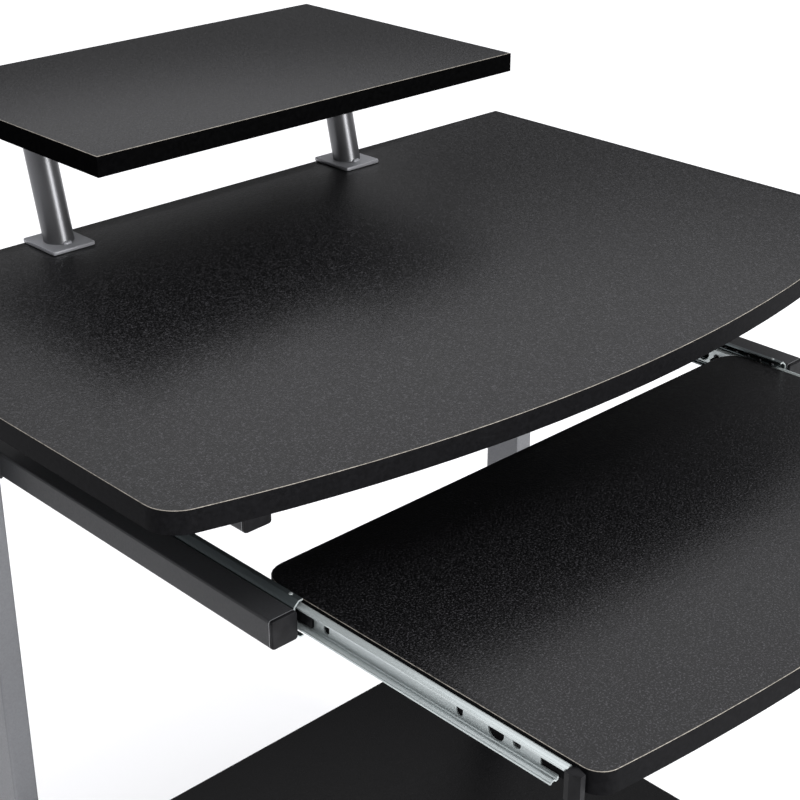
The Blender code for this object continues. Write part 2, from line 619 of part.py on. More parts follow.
def make_keyboard_tray():
    carriage = carriage_empty("tray_carriage", SLIDE_FRONT_Y - SLIDE_TRAVEL)
    outline = bowed_board(TRAY_WIDTH, TRAY_DEPTH, TRAY_BOW_RADIUS, TRAY_CORNER_RADIUS, TRAY_BACK_RADIUS)
    add("keyboard_tray", extruded(outline, TRAY_THICKNESS), "black_laminate",
        (0, SLIDE_LENGTH - TRAY_BEHIND_SLIDE, TRAY_TOP - TRAY_THICKNESS / 2 - RAIL_Z), carriage)
    for side, sign in SIDES:
        slide_member(f"outer_slide_{side}", outer_profile(), SLIDE_LENGTH, SLIDE_FRONT_Y, sign, "zinc_steel")
        make_inner_slide(side, sign, carriage)
        make_bumper(side, sign, carriage)
        make_ball_cage(side, sign)


# ---------------------------------------------------------------- assembly


def main():
    desktop = make_boards()
    legs = {}
    for side, sign in SIDES:
        legs[side], top_tube = make_side_frame(side, sign)
        screw_down_desktop(desktop, top_tube, side, sign)
        make_monitor_post(side, sign, desktop)
    upper = make_stretcher("upper_stretcher", UPPER_STRETCHER_Z)
    bolt_stretcher(upper, "upper", UPPER_STRETCHER_Z, legs)
    lower = make_stretcher("lower_stretcher", LOWER_STRETCHER_Z)
    bolt_stretcher(lower, "lower", LOWER_STRETCHER_Z, legs)
    make_keyboard_tray()


main()
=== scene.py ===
"""Looks, small fittings and stage for the computer desk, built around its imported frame."""

import math

import bmesh
import bpy
from bpy.props import FloatProperty, FloatVectorProperty, IntProperty, PointerProperty
from mathutils import Matrix, Vector


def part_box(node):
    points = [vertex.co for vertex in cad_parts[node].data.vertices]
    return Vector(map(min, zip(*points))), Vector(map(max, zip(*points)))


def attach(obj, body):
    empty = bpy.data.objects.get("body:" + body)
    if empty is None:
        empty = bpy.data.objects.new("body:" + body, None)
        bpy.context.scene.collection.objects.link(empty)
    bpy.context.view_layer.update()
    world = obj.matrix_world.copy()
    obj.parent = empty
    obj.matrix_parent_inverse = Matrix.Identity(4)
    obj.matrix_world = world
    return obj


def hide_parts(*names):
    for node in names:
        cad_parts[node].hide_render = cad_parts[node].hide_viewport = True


bl_info = {
    "name": "Computer Desk Looks",
    "version": (1, 0, 0),
    "blender": (4, 5, 0),
    "location": "3D View > Sidebar > Desk",
    "description": "Dresses a desk's frame with boards, coatings, welds, screws and slides",
    "category": "Add Mesh",
}

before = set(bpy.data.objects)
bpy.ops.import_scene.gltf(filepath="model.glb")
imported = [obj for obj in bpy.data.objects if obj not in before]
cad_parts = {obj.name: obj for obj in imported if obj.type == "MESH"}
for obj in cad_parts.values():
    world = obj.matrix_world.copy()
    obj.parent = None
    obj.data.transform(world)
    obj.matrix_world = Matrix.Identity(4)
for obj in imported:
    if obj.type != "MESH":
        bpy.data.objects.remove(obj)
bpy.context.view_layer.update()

SIDES = (("left", -1), ("right", 1))
ENDS = ("front", "rear")
UP = Vector((0, 0, 1))
HALF_PI = math.pi / 2
END_RING = 0.0003                 # length of the bright line at a tube's end
END_PROUD = 0.00008               # how far that line stands out of the tube
HEAD_RATIO = 1.9                  # bolt head over shank
HEAD_SHARE = 0.52                 # bolt head's height over its radius
THREAD_CORE = 0.84                # thread's core over its crest
DOME = ((0.50, 1.0), (0.76, 0.94), (0.90, 0.78), (0.98, 0.5), (1.0, 0.2), (0.98, 0.0))    # (radius, height)
RECESS_DEPTH = 0.6                # cross recess over the head's height
RECESS_WIDTH = 0.24               # one arm of the cross over the head's radius
SHELF_SCREW_INSET = 0.14          # screws in from the plate's edges, over its width
SHELF_SCREW_SHARES = (0.12, 0.88)     # the lower shelf's screws along their rail
LOOSE_GAP = 0.00001               # vertices closer than this are one
SEAM_FLATNESS = math.radians(0.4)
RIM_ANGLE = math.radians(60)      # a board's face and its side meet at more than this
HOLE_REACH = 0.006                # farthest rim of a drilled hole from its middle

# ---------------------------------------------------------------- settings


def colour_property(name, description, default):
    return FloatVectorProperty(name=name, description=description, subtype="COLOR", size=3, min=0.0, max=1.0,
                               default=default)


def length_property(name, description, default):
    return FloatProperty(name=name, description=description, subtype="DISTANCE", unit="LENGTH", min=0.0,
                         default=default, precision=5)


class DeskFinishes(bpy.types.PropertyGroup):
    """Colours of the desk's materials."""

    laminate: colour_property("Laminate", "Colour of the boards' faces", (0.0016, 0.0016, 0.0018))
    laminate_fleck: colour_property("Laminate fleck", "Colour of the grain in the laminate",
                                    (0.0620, 0.0610, 0.0660))
    backing: colour_property("Backing", "Paper on the boards' undersides", (0.0024, 0.0024, 0.0026))
    edge_band: colour_property("Edge band", "Band round the desktop and the tray", (0.0045, 0.0045, 0.0050))
    shelf_band: colour_property("Shelf band", "Band round the two shelves", (0.0015, 0.0015, 0.0016))
    arris: colour_property("Arris", "Colour of the laminate's cut edge", (0.3000, 0.2750, 0.2350))
    leg_grey: colour_property("Leg grey", "Powder coat on the legs and feet", (0.1260, 0.1290, 0.1380))
    rail_grey: colour_property("Rail grey", "Powder coat on rails and top tubes", (0.0300, 0.0306, 0.0325))
    silver: colour_property("Silver", "Coat on the monitor posts", (0.1250, 0.1260, 0.1320))
    plate: colour_property("Plate silver", "Coat on the plates and their welds", (0.3400, 0.3450, 0.3650))
    zinc: colour_property("Zinc", "Plating on the inner slides", (0.4600, 0.5000, 0.5000))
    # A darker copy of the zinc: painted shade on the outer slides and the ball cages, which lie under the
    # desktop
    shaded_zinc: colour_property("Painted shade zinc", "Darker zinc, painted shade on the outer slides and the ball cages",
                                 (0.1100, 0.1300, 0.1350))
    tube_end: colour_property("Tube end", "Thin coat on the tubes' sawn ends", (0.3000, 0.3050, 0.3150))
    plastic: colour_property("Plastic", "Caps, bumpers and glides", (0.0065, 0.0065, 0.0072))
    screw_steel: colour_property("Screw steel", "Plating on screws and bolts", (0.5500, 0.5500, 0.5600))
    # Black screws in the slides; on the slides' balls the same dark colour is painted shade
    black_steel_and_painted_shade: colour_property("Black steel", "Screws in the slides, and the slides' balls darkened as painted shade",
                                 (0.0300, 0.0300, 0.0320))


class DeskFittings(bpy.types.PropertyGroup):
    """Sizes of the small pieces."""

    arris_width: length_property("Arris", "Width of the bevel along a board's edges", 0.0003)
    band_proud: length_property("Band", "How far the edge band stands out of the board", 0.0003)
    plate_round: length_property("Plate edge", "Rounding on the post plates' edges", 0.0006)
    post_lean: FloatProperty(name="Post lean", description="How far the posts lean back",
                             subtype="ANGLE", default=math.radians(13))
    bead_radius: length_property("Weld bead", "Radius of a weld bead", 0.0015)
    bead_pitch: length_property("Weld pitch", "Distance between a bead's ripples", 0.0012)
    tack_radius: length_property("Tack", "Radius of the tack welds at the posts' feet", 0.0019)
    thread_pitch: length_property("Thread", "Distance between a screw's threads", 0.0016)
    tray_screw_head: length_property("Tray screw", "Radius of the screws that hold the tray", 0.0026)
    tray_screw_front: length_property("Front tray screw", "Slide's front end to its first screw", 0.0384)
    tray_screw_rear: length_property("Rear tray screw", "Slide's front end to its last screw", 0.2715)
    window_at: length_property("Catch", "Slide's front end to the middle of its catch", 0.2135)
    shelf_screw_head: length_property("Shelf screw", "Radius of the screws in the shelves", 0.0036)
    catch_depth: length_property("Catch depth", "Catch's size away from the slide's web", 0.0022)
    catch_length: length_property("Catch length", "Catch's size along the slide", 0.017)
    catch_height: length_property("Catch height", "Catch's size up the slide", 0.0092)
    dimple_radius: length_property("Dimple", "Radius of the outer slide's dimple", 0.0014)
    dimple_rise: length_property("Dimple rise", "Height of the outer slide's dimple", 0.0005)
    dimple_back: length_property("Dimple place", "Outer slide's front end to its dimple", 0.009)
    ball: length_property("Ball", "Radius of a slide's ball", 0.0023)
    ball_pitch: length_property("Ball pitch", "Distance between two balls", 0.0115)
    tube_wall: length_property("Tube wall", "Thickness of the tubes' wall", 0.0012)
    tube_rounding: length_property("Tube rounding", "Radius of the tubes' corners", 0.0018)
    balls: IntProperty(name="Balls", description="Balls in one row of a cage", default=7, min=1)


class DeskStage(bpy.types.PropertyGroup):
    """Floor, lights and camera."""

    floor: colour_property("Floor", "Colour of the floor", (0.93, 0.93, 0.93))
    floor_size: length_property("Floor size", "Side of the floor", 60.0)
    sky: FloatProperty(name="Sky", description="Brightness of the surroundings overhead", default=1.62,
                       min=0.0)
    front: FloatProperty(name="Front light", description="Power of the softbox in front", subtype="POWER",
                         default=70.0, min=0.0)
    top: FloatProperty(name="Top light", description="Power of the softbox above the tray", subtype="POWER",
                       default=16.0, min=0.0)
    lens: FloatProperty(name="Lens", description="Focal length", subtype="DISTANCE_CAMERA", default=75.06)
    eye: FloatVectorProperty(name="Eye", description="Place of the camera", subtype="TRANSLATION",
                             unit="LENGTH", size=3, default=(-0.79609, -0.78641, 1.18509), precision=5)
    turn: FloatVectorProperty(name="Turn", description="Rotation of the camera", subtype="EULER", size=3,
                              default=(math.radians(64.2923), math.radians(0.0931), math.radians(-43.6194)))


# ---------------------------------------------------------------- modelling helpers


def activate(*pieces):
    """Selects only these pieces, and makes the first one active."""
    bpy.ops.object.select_all(action="DESELECT")
    for piece in pieces:
        piece.select_set(True)
    bpy.context.view_layer.objects.active = pieces[0]


def edit(piece):
    activate(piece)
    bpy.ops.object.mode_set(mode="EDIT")
    bpy.ops.mesh.select_all(action="SELECT")


def leave_edit():
    bpy.ops.object.mode_set(mode="OBJECT")


def pick(piece, kind, test):
    """In edit mode, selects only the faces or edges that pass a test."""
    bpy.ops.mesh.select_mode(type=kind)
    bpy.ops.mesh.select_all(action="DESELECT")
    shape = bmesh.from_edit_mesh(piece.data)
    for part in shape.faces if kind == "FACE" else shape.edges:
        if test(part):
            part.select_set(True)
    bmesh.update_edit_mesh(piece.data)


def added(name):
    """The object that the last operator added, under a new name."""
    piece = bpy.context.object
    piece.name = name
    piece.data.name = name
    return piece


def apply_modifier(piece, kind, **settings):
    activate(piece)
    modifier = piece.modifiers.new(kind.title(), kind)
    for key, value in settings.items():
        setattr(modifier, key, value)
    bpy.ops.object.modifier_apply(modifier=modifier.name)


def cut(piece, tool):
    """Cuts a tool from a piece, and removes the tool."""
    apply_modifier(piece, "BOOLEAN", operation="DIFFERENCE", solver="EXACT", object=tool)
    bpy.data.objects.remove(tool)


def joined(name, pieces):
    """Several pieces as one object."""
    activate(*pieces)
    bpy.ops.object.join()
    return added(name)


def slab(name, size, place):
    """A rectangular block, to be shaped further or cut away."""
    bpy.ops.object.select_all(action="DESELECT")
    bpy.ops.mesh.primitive_cube_add(size=1.0, location=place)
    piece = added(name)
    piece.scale = size
    settle(piece)
    return piece


def turned(name, profile, sides=32):
    """A turned solid on the Z axis: a disc pulled up and resized from section to section."""
    bpy.ops.object.select_all(action="DESELECT")
    radius, height = profile[0]
    bpy.ops.mesh.primitive_circle_add(vertices=sides, radius=radius, fill_type="NGON",
                                      location=(0, 0, height))
    piece = added(name)
    settle(piece)
    edit(piece)
    for (start, low), (end, high) in zip(profile, profile[1:]):
        bpy.ops.mesh.extrude_region_move(TRANSFORM_OT_translate={"value": (0, 0, high - low)})
        bpy.ops.transform.resize(value=(end / start, end / start, 1.0), center_override=(0, 0, high))
    bpy.ops.mesh.select_all(action="SELECT")
    bpy.ops.mesh.normals_make_consistent(inside=False)
    leave_edit()
    return piece


def thread(radius, start, length, pitch):
    """Profile of a shank with a thread on it, with a short point at its end."""
    turns = int(length / pitch) - 1
    core = radius * THREAD_CORE
    points = [(core, start)]
    for turn in range(turns):
        foot = start + (turn + 0.5) * pitch
        points += [(core, foot), (radius, foot + 0.35 * pitch), (radius, foot + 0.5 * pitch),
                   (core, foot + 0.85 * pitch)]
    return points + [(core, start + length - radius / 2), (radius * 0.5, start + length)]


def cross_screw(name, head, height, radius, length, pitch):
    """A screw along +Z, its seat at the origin: domed head, cross recess and threaded shank."""
    dome = [(head * share, -height * level) for share, level in DOME]
    piece = turned(name, dome + thread(radius, 0.0, length, pitch))
    arm, depth = head * RECESS_WIDTH, height * RECESS_DEPTH
    for size in ((head, arm, 2 * depth), (arm, head, 2 * depth)):
        cut(piece, slab("recess", size, (0, 0, -height)))
    smooth(piece)
    return piece


def bead(name, places, radius):
    """A weld: overlapping drops of metal, melted into one shape."""
    bpy.ops.object.select_all(action="DESELECT")
    bpy.ops.mesh.primitive_ico_sphere_add(subdivisions=3, radius=radius)
    drop = added("drop")
    drops = [placed_copy(drop, "drop", Matrix.Translation(place)) for place in places]
    bpy.data.objects.remove(drop)
    piece = joined(name, drops)
    apply_modifier(piece, "REMESH", mode="VOXEL", voxel_size=radius * 0.2, use_smooth_shade=True)
    apply_modifier(piece, "SMOOTH", factor=0.5, iterations=2)
    return piece


def line(start, end, pitch):
    """Places along a straight seam, both ends included."""
    start, end = Vector(start), Vector(end)
    steps = max(1, round((end - start).length / pitch))
    return [start.lerp(end, step / steps) for step in range(steps + 1)]


def settle(piece):
    """Puts a piece's place, turn and size into its mesh."""
    activate(piece)
    bpy.ops.object.transform_apply(location=True, rotation=True, scale=True)


def smooth(piece, degrees=35):
    activate(piece)
    bpy.ops.object.shade_smooth_by_angle(angle=math.radians(degrees))


def placed_copy(master, name, matrix):
    """A copy of a finished piece with its own mesh, put in its place."""
    piece = bpy.data.objects.new(name, master.data.copy())
    piece.data.name = name
    piece.data.transform(matrix)
    bpy.context.scene.collection.objects.link(piece)
    return piece


def finish_piece(piece, body, material=None, stands_for=()):
    """Gives a piece its finish and its body, and hides the CAD nodes that it stands for."""
    if material is not None:
        piece.data.materials.clear()
        piece.data.materials.append(material)
    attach(piece, body)
    if stands_for:
        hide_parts(*stands_for)


def cad_copy(node, name):
    """A copy of a CAD node with its loose triangles merged into whole faces."""
    piece = bpy.data.objects.new(name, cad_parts[node].data.copy())
    piece.data.name = name
    bpy.context.scene.collection.objects.link(piece)
    edit(piece)
    bpy.ops.mesh.remove_doubles(threshold=LOOSE_GAP)
    bpy.ops.mesh.customdata_custom_splitnormals_clear()
    bpy.ops.mesh.dissolve_limited(angle_limit=SEAM_FLATNESS)
    leave_edit()
    return piece


def middle(node):
    low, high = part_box(node)
    return (low + high) / 2


def pointing(direction, place):
    """The matrix that turns +Z to a direction and moves the origin to a place."""
    turn = UP.rotation_difference(Vector(direction)).to_matrix().to_4x4()
    return Matrix.Translation(place) @ turn


# ---------------------------------------------------------------- material helpers


class Coat:
    """A Principled material with a few shorthands for its node tree."""

    def __init__(self, name, colour, roughness, metallic=0.0, specular=0.5):
        self.material = bpy.data.materials.new(name)
        self.material.use_nodes = True
        self.tree = self.material.node_tree
        self.shader = self.tree.nodes["Principled BSDF"]
        self.set("Base Color", (*colour, 1.0))
        self.set("Roughness", roughness)
        self.set("Metallic", metallic)
        self.set("Specular IOR Level", specular)

    def set(self, socket, value):
        self.shader.inputs[socket].default_value = value

    def join(self, source, target):
        self.tree.links.new(source, target)

    def node(self, kind, settings=None, **inputs):
        node = self.tree.nodes.new(kind)
        for key, value in (settings or {}).items():
            setattr(node, key, value)
        for key, value in inputs.items():
            node.inputs[key.replace("_", " ")].default_value = value
        return node

    def place(self, stretch=(1, 1, 1)):
        """Object coordinates, squeezed along an axis to draw streaks."""
        coordinates = self.node("ShaderNodeTexCoord").outputs["Object"]
        if stretch == (1, 1, 1):
            return coordinates
        mapping = self.node("ShaderNodeMapping", Scale=stretch)
        self.join(coordinates, mapping.inputs["Vector"])
        return mapping.outputs["Vector"]

    def noise(self, scale, detail=2.0, rough=0.5, stretch=(1, 1, 1)):
        noise = self.node("ShaderNodeTexNoise", Scale=scale, Detail=detail, Roughness=rough)
        self.join(self.place(stretch), noise.inputs["Vector"])
        return noise.outputs["Fac"]

    def cells(self, scale):
        cells = self.node("ShaderNodeTexVoronoi", {"feature": "SMOOTH_F1"}, Scale=scale)
        self.join(self.place(), cells.inputs["Vector"])
        return cells.outputs["Distance"]

    def ranged(self, source, low, high, to_low, to_high):
        ranged = self.node("ShaderNodeMapRange", From_Min=low, From_Max=high, To_Min=to_low, To_Max=to_high)
        self.join(source, ranged.inputs["Value"])
        return ranged.outputs["Result"]

    def mixed(self, factor, first, second):
        """Two colours mixed by a factor."""
        mix = self.node("ShaderNodeMix", {"data_type": "RGBA"})
        self.join(factor, mix.inputs["Factor"])
        for socket, value in ((mix.inputs[6], first), (mix.inputs[7], second)):
            if isinstance(value, bpy.types.NodeSocket):
                self.join(value, socket)
            else:
                socket.default_value = (*value, 1.0)
        return mix.outputs[2]

    def total(self, first, second, weight=1.0):
        """One pattern plus a weighted second one."""
        total = self.node("ShaderNodeMath", {"operation": "MULTIPLY_ADD"})
        self.join(second, total.inputs[0])
        total.inputs[1].default_value = weight
        self.join(first, total.inputs[2])
        return total.outputs["Value"]

    def bump(self, height, distance, strength=1.0):
        bump = self.node("ShaderNodeBump", Distance=distance, Strength=strength)
        self.join(height, bump.inputs["Height"])
        self.join(bump.outputs["Normal"], self.shader.inputs["Normal"])

    def drive(self, socket, source):
        self.join(source, self.shader.inputs[socket])


def scaled(colour, factor):
    return tuple(min(1.0, channel * factor) for channel in colour)


def laminate_material(name, finishes, specular, brightness):
    """Pebbled laminate: small soft cells that catch the light, with lighter grains."""
    coat = Coat(name, finishes.laminate, 0.36, specular=specular)
    pebbles = coat.cells(700)
    grain = coat.noise(1300, 3.0, 0.65)
    coat.bump(coat.total(pebbles, grain, 0.8), 0.00022, 0.55)
    flecks = coat.ranged(coat.noise(760, 3.0, 0.8), 0.52, 0.72, 0.0, brightness)
    coat.drive("Base Color", coat.mixed(flecks, finishes.laminate, finishes.laminate_fleck))
    coat.drive("Roughness", coat.ranged(coat.noise(380, 3.0, 0.6), 0.3, 0.7, 0.29, 0.42))
    return coat.material


def backing_material(finishes):
    """Matt black paper on the boards' undersides."""
    coat = Coat("black_backing_paper", finishes.backing, 0.85, specular=0.04)
    fibres = coat.noise(500, 4.0, 0.7, (1.0, 0.3, 1.0))
    tones = coat.mixed(fibres, scaled(finishes.backing, 0.6), scaled(finishes.backing, 1.6))
    coat.drive("Base Color", tones)
    coat.bump(fibres, 0.00004, 0.5)
    return coat.material


def edge_material(name, colour, specular):
    """Plastic edge band: satin, with a faint grain."""
    coat = Coat(name, colour, 0.45, specular=specular)
    coat.bump(coat.noise(1300, 3.0, 0.6), 0.00005, 0.6)
    tones = coat.ranged(coat.noise(300, 4.0, 0.7), 0.35, 0.7, 0.0, 1.0)
    coat.drive("Base Color", coat.mixed(tones, scaled(colour, 0.8), scaled(colour, 1.5)))
    return coat.material


def arris_material(finishes):
    """The laminate's cut edge, a tan line where the paper core shows."""
    coat = Coat("laminate_cut_edge", finishes.arris, 0.55, specular=0.3)
    worn = coat.ranged(coat.noise(240, 4.0, 0.7), 0.35, 0.60, 0.0, 1.0)
    coat.drive("Base Color", coat.mixed(worn, scaled(finishes.arris, 0.45), finishes.arris))
    coat.bump(coat.noise(1600, 2.0), 0.00003, 0.5)
    return coat.material


def powder_material(name, colour, roughness, metallic, specular):
    """Powder coat: a fine orange peel with slow changes of tone."""
    coat = Coat(name, colour, roughness, metallic, specular)
    coat.bump(coat.total(coat.noise(1100, 2.0), coat.noise(330, 2.0), 1.2), 0.00003, 0.7)
    tones = coat.ranged(coat.total(coat.noise(700, 3.0), coat.noise(14, 2.0), 0.6), 0.5, 1.1, 0.0, 1.0)
    coat.drive("Base Color", coat.mixed(tones, scaled(colour, 0.86), scaled(colour, 1.12)))
    coat.drive("Roughness", coat.ranged(coat.noise(520, 2.0), 0.3, 0.7, roughness - 0.04, roughness + 0.06))
    return coat.material


def zinc_material(name, colour, metallic):
    """Zinc plate over rolled strip: fine lines along the strip, with milky patches."""
    coat = Coat(name, colour, 0.38, metallic)
    lines = coat.noise(1500, 2.0, 0.5, (1.0, 0.012, 1.0))
    patches = coat.noise(60, 4.0, 0.6, (1.0, 0.3, 1.0))
    tones = coat.ranged(coat.total(lines, patches, 1.4), 0.8, 1.6, 0.0, 1.0)
    coat.drive("Base Color", coat.mixed(tones, scaled(colour, 0.90), scaled(colour, 1.06)))
    coat.drive("Roughness", coat.ranged(patches, 0.35, 0.65, 0.34, 0.46))
    coat.bump(lines, 0.000004, 0.3)
    return coat.material


def silver_material(name, colour, roughness, metallic):
    """Silver coat with a fine metallic grain."""
    coat = Coat(name, colour, roughness, metallic)
    grain = coat.noise(2400, 2.0)
    tones = coat.ranged(coat.total(grain, coat.noise(40, 3.0), 0.5), 0.5, 1.0, 0.0, 1.0)
    coat.drive("Base Color", coat.mixed(tones, scaled(colour, 0.92), scaled(colour, 1.08)))
    coat.drive("Roughness", coat.ranged(grain, 0.3, 0.7, roughness - 0.03, roughness + 0.04))
    coat.bump(grain, 0.000004, 0.4)
    return coat.material


def plastic_material(finishes):
    """Moulded plastic with a spark-eroded grain."""
    coat = Coat("black_moulding", finishes.plastic, 0.45, specular=0.08)
    coat.bump(coat.noise(1700, 3.0, 0.6), 0.00003, 0.7)
    tones = coat.ranged(coat.noise(120, 3.0), 0.35, 0.65, 0.0, 1.0)
    dark, light = scaled(finishes.plastic, 0.7), scaled(finishes.plastic, 1.5)
    coat.drive("Base Color", coat.mixed(tones, dark, light))
    return coat.material


def screw_material(name, colour, roughness):
    """Plated steel with fine turned marks."""
    coat = Coat(name, colour, roughness, 1.0)
    marks = coat.noise(900, 3.0, 0.6)
    coat.drive("Base Color", coat.mixed(marks, scaled(colour, 0.7), colour))
    coat.drive("Roughness", coat.ranged(marks, 0.3, 0.7, roughness - 0.06, roughness + 0.1))
    coat.bump(marks, 0.00001, 0.5)
    return coat.material


def coat_named(context, name):
    """The desk's material of this name, made on first use."""
    material = bpy.data.materials.get(name)
    if material is not None:
        return material
    finishes = context.scene.desk_finishes
    makers = {
        "black_laminate_face": lambda: laminate_material(name, finishes, 0.29, 0.9),
        # copy of the face laminate with less sheen and dimmer flecks: painted shade for the lower shelf
        # under the desk
        "black_laminate_painted_shade": lambda: laminate_material(name, finishes, 0.08, 0.25),
        "black_backing_paper": lambda: backing_material(finishes),
        "black_edge_band": lambda: edge_material(name, finishes.edge_band, 0.015),
        "black_shelf_band": lambda: edge_material(name, finishes.shelf_band, 0.0),
        "laminate_cut_edge": lambda: arris_material(finishes),
        "grey_powder_coat": lambda: powder_material(name, finishes.leg_grey, 0.42, 0.3, 0.5),
        "charcoal_powder_coat": lambda: powder_material(name, finishes.rail_grey, 0.40, 0.0, 0.15),
        "zinc_plate": lambda: zinc_material(name, finishes.zinc, 0.45),
        # darker zinc: painted shade on the outer slides and the ball cages
        "painted_shade_zinc": lambda: zinc_material(name, finishes.shaded_zinc, 0.8),
        "sawn_tube_end": lambda: powder_material(name, finishes.tube_end, 0.35, 0.5, 0.5),
        "silver_coat": lambda: silver_material(name, finishes.silver, 0.34, 0.65),
        "silver_plate": lambda: silver_material(name, finishes.plate, 0.42, 0.25),
        "black_moulding": lambda: plastic_material(finishes),
        "plated_screw": lambda: screw_material(name, finishes.screw_steel, 0.28),
        # black screws, and painted shade on the slides' balls
        "black_oxide_and_painted_shade": lambda: screw_material(name, finishes.black_steel_and_painted_shade, 0.38),
    }
    return makers[name]()


def recoat(stem, material):
    """Puts a material on the CAD nodes of one family, such as both legs."""
    for node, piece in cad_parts.items():
        if node.startswith(stem):
            piece.data.materials.clear()
            piece.data.materials.append(material)


# ---------------------------------------------------------------- boards

BOARDS = (
    ("desktop", "frame", "black_laminate_face", "black_edge_band"),
    ("monitor_shelf", "frame", "black_laminate_face", "black_shelf_band"),
    # the lower shelf gets the dimmed laminate, painted shade
    ("lower_shelf", "frame", "black_laminate_painted_shade", "black_shelf_band"),
    ("keyboard_tray", "tray", "black_laminate_face", "black_edge_band"),
)
DRILLED = ("post_bolt", "desktop_screw")


class DESK_OT_boards(bpy.types.Operator):
    """Make the four boards, with bevelled arrises and pebbled laminate"""

    bl_idname = "desk.boards"
    bl_label = "Boards"
    bl_options = {"REGISTER", "UNDO"}

    def execute(self, context):
        width = context.scene.desk_fittings.arris_width
        for node, body, face_coat, band_coat in BOARDS:
            coats = [coat_named(context, name) for name in
                     (face_coat, "laminate_cut_edge", band_coat, "black_backing_paper")]
            board = cad_copy(node, f"{node}_board")
            edit(board)
            pick(board, "EDGE", is_rim)
            bpy.ops.mesh.bevel(offset=width, segments=2, affect="EDGES", profile=0.5)
            leave_edit()
            board.data.materials.clear()
            for coat in coats:
                board.data.materials.append(coat)
            for face in board.data.polygons:
                up = face.normal.z
                face.material_index = 0 if up > 0.98 else 3 if up < -0.1 else 1 if up > 0.1 else 2
            smooth(board, 60)
            finish_piece(board, body, stands_for=(node,))
        return {"FINISHED"}


def is_rim(edge):
    """An edge between a board's flat face and its side wall, but not the rim of a drilled hole."""
    if len(edge.link_faces) != 2 or edge.calc_face_angle(0.0) < RIM_ANGLE:
        return False
    if abs(edge.verts[0].co.z - edge.verts[1].co.z) > 10 * LOOSE_GAP:
        return False
    return not in_drilled_hole((edge.verts[0].co + edge.verts[1].co) / 2)


def in_drilled_hole(place):
    holes = [middle(node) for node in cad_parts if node.startswith(DRILLED)]
    return any((place - hole).xy.length < HOLE_REACH for hole in holes)


def off_the_side(face):
    """A face that isn't part of a board's side wall."""
    return abs(face.normal.z) > 0.5 or in_drilled_hole(face.calc_center_median())


class DESK_OT_edge_bands(bpy.types.Operator):
    """Make the thin plastic band that runs round each board"""

    bl_idname = "desk.edge_bands"
    bl_label = "Edge Bands"
    bl_options = {"REGISTER", "UNDO"}

    def execute(self, context):
        fittings = context.scene.desk_fittings
        for node, body, _, band_coat in BOARDS:
            band = cad_copy(node, f"{node}_edge_band")
            edit(band)
            pick(band, "FACE", off_the_side)
            bpy.ops.mesh.delete(type="FACE")
            leave_edit()
            centre = middle(node).z
            for vert in band.data.vertices:
                inward = -1 if vert.co.z > centre else 1
                vert.co.z += inward * fittings.arris_width
            apply_modifier(band, "SOLIDIFY", thickness=fittings.band_proud, offset=1.0, use_even_offset=True)
            smooth(band, 40)
            finish_piece(band, body, coat_named(context, band_coat))
        return {"FINISHED"}


# ---------------------------------------------------------------- steel frame

TUBES = ("keyboard_rail", "lower_rail", "top_tube", "foot_tube")
BOLTS = ("post_bolt_", "desktop_screw_", "upper_stretcher_bolt_", "lower_stretcher_bolt_")
COATED = (
    ("grey_powder_coat", ("leg_", "foot_tube_left", "foot_tube_right")),
    ("charcoal_powder_coat", ("top_tube_left", "top_tube_right", "keyboard_rail_left", "keyboard_rail_right",
                              "lower_rail_left", "lower_rail_right", "upper_stretcher", "lower_stretcher")),
    ("zinc_plate", ("inner_slide_",)),
    # the outer slides and the ball cages get the darker zinc, painted shade
    ("painted_shade_zinc", ("outer_slide_", "ball_cage_")),
    ("black_moulding", (*(f"{tube}_cap_" for tube in TUBES), "slide_bumper_")),
)


class DESK_OT_frame_coats(bpy.types.Operator):
    """Coat the tubes, rails and stretchers, and the plastic on them"""

    bl_idname = "desk.frame_coats"
    bl_label = "Frame Coats"
    bl_options = {"REGISTER", "UNDO"}

    def execute(self, context):
        for coat, stems in COATED:
            for stem in stems:
                recoat(stem, coat_named(context, coat))
        return {"FINISHED"}


